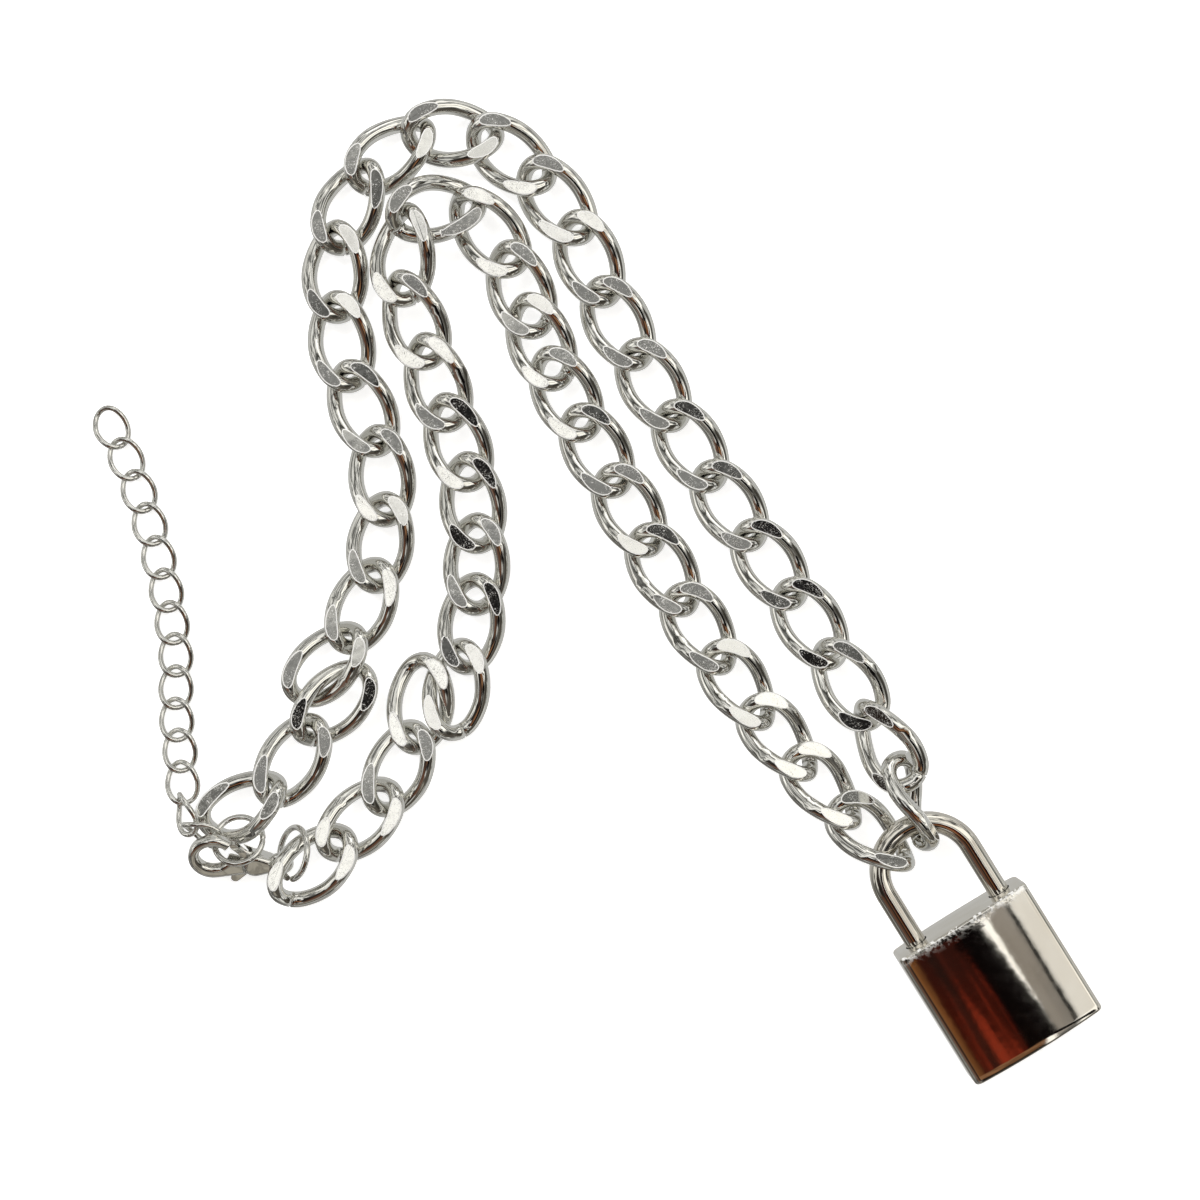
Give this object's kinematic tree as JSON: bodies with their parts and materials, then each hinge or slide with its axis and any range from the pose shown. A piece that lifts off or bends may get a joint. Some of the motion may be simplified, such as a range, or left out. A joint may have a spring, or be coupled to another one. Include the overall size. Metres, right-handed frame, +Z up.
{
  "type": "padlock pendant necklace",
  "caption": "Curb-chain necklace with a plain padlock pendant, a lobster clasp and an extender chain.",
  "frame": {"origin": "on the surface that the necklace lies on, below the middle of its plan", "axes": "+Z up, away from the surface; +X to the reader's right and +Y away from the reader, with the padlock at the lower right and the extender at the lower left"},
  "size_m": [0.1342, 0.1306, 0.0092],
  "materials": {
    "chain_metal": "polished silver-coloured metal with lightly brushed flats",
    "extender_metal": "bright silver-coloured wire",
    "ring_metal": "bright silver-coloured wire",
    "clasp_metal": "cast and polished silver-coloured metal",
    "padlock_metal": "mirror-polished silver-coloured metal",
    "shackle_metal": "mirror-polished silver-coloured metal"
  },
  "bodies": {
    "necklace": {"curb_chain_outer": "chain_metal", "curb_chain_inner": "chain_metal", "extender_chain": "extender_metal", "jump_ring_extender": "ring_metal", "jump_ring_clasp": "ring_metal", "clasp_body": "clasp_metal", "padlock_shackle": "shackle_metal"},
    "padlock": {"padlock_body": "padlock_metal"},
    "lever": {"clasp_lever": "clasp_metal"}
  },
  "joints": [
    {"name": "padlock_opens", "type": "slide", "parent": "necklace", "child": "padlock", "axis": [0.527, -0.8499, 0], "range_m": [0, 0.004]},
    {"name": "lever_hinge", "type": "hinge", "parent": "necklace", "child": "lever", "pos_m": [-0.04491, -0.03676, 0.00222], "axis": [0.1003, -0.5082, 0.8554], "range_deg": [0, 16], "stiffness_Nm_per_rad": 0.001}
  ]
}
